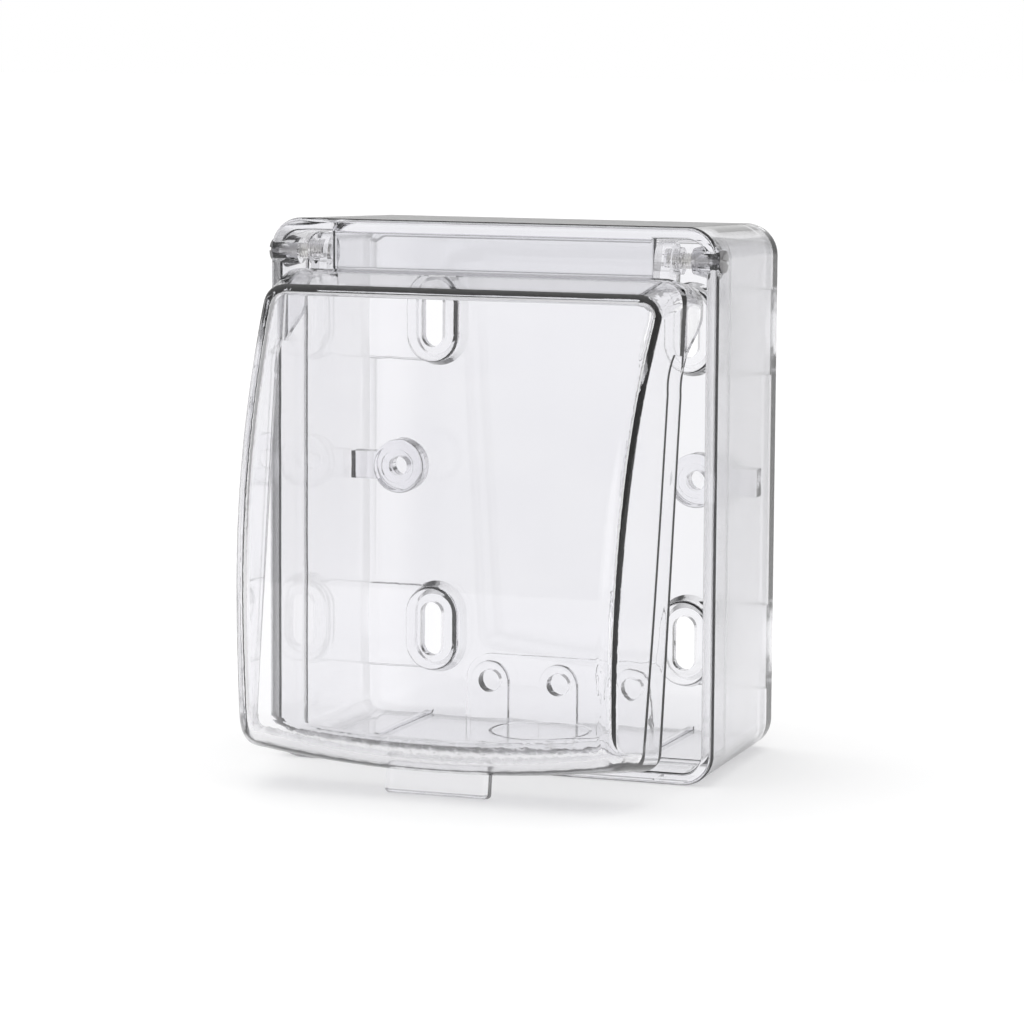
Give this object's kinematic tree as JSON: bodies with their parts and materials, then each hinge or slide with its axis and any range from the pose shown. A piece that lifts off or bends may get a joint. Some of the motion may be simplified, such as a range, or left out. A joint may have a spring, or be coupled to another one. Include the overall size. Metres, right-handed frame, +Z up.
{
  "type": "weatherproof socket cover",
  "caption": "Clear surface-mounted box with a bulging clear lid that swings up on hinge screws and shields a wall socket from splashes.",
  "frame": {"origin": "Centre of the flat back face, half-way up the box at the rim, on the wall plane.", "axes": "X to the right seen from the front, Y into the wall, Z up. The rim and the lid face -Y."},
  "size_m": [0.0886, 0.0794, 0.1022],
  "materials": {
    "clear_box": "clear, polished, faint cool grey",
    "clear_lid": "clear, polished, faint cool grey",
    "screw_steel": "turned, bright"
  },
  "bodies": {
    "box_body": {"box": "clear_box"},
    "lid_body": {"lid": "clear_lid", "hinge_screw_left": "screw_steel", "hinge_screw_right": "screw_steel"}
  },
  "joints": [
    {"name": "lid_hinge", "type": "hinge", "parent": "box_body", "child": "lid_body", "pos_m": [0, -0.0416, 0.0448], "axis": [-1, 0, 0], "range_deg": [-8.64, 86]}
  ]
}
